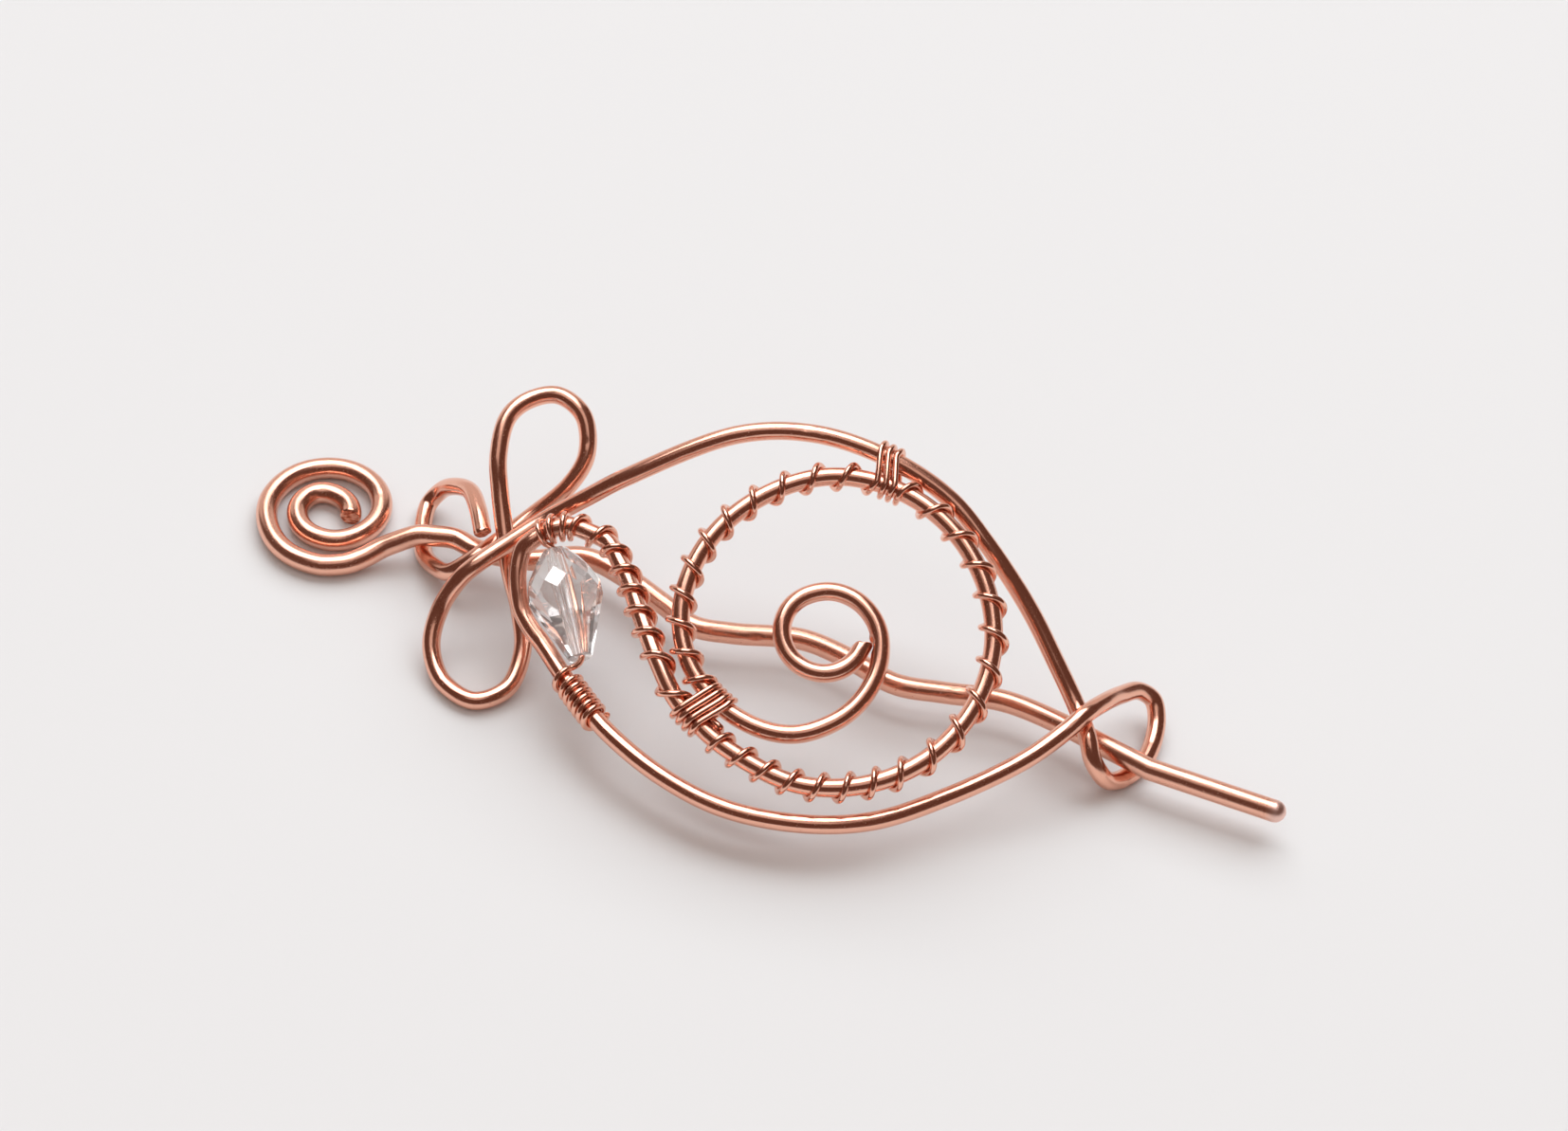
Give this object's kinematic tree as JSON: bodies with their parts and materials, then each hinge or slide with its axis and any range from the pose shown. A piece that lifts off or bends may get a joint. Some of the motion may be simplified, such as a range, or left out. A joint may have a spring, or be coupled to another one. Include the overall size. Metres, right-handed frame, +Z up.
{
  "type": "hair barrette",
  "caption": "Bent wire hair slide with a ring of bound wire, looped leaves, a faceted glass drop and a wavy pin that slides out.",
  "frame": {"origin": "middle of the part in plan, on the surface that it lies on", "axes": "+X along the pin towards its filed end, +Y from the low bow towards the high one, +Z up from the surface"},
  "size_m": [0.1147, 0.0396, 0.0227],
  "materials": {
    "frame_copper": "polished copper",
    "wrap_copper": "polished copper, thin wire",
    "bead_glass": "clear, cut in facets",
    "pin_copper": "polished copper, a little satin"
  },
  "bodies": {
    "frame": {"frame_wire": "frame_copper", "wrap_wire": "wrap_copper", "bead": "bead_glass"},
    "pin": {"pin": "pin_copper"}
  },
  "joints": [
    {"name": "pin_slide", "type": "slide", "parent": "frame", "child": "pin", "axis": [-1, 0, 0], "range_m": [0, 0.1]}
  ]
}
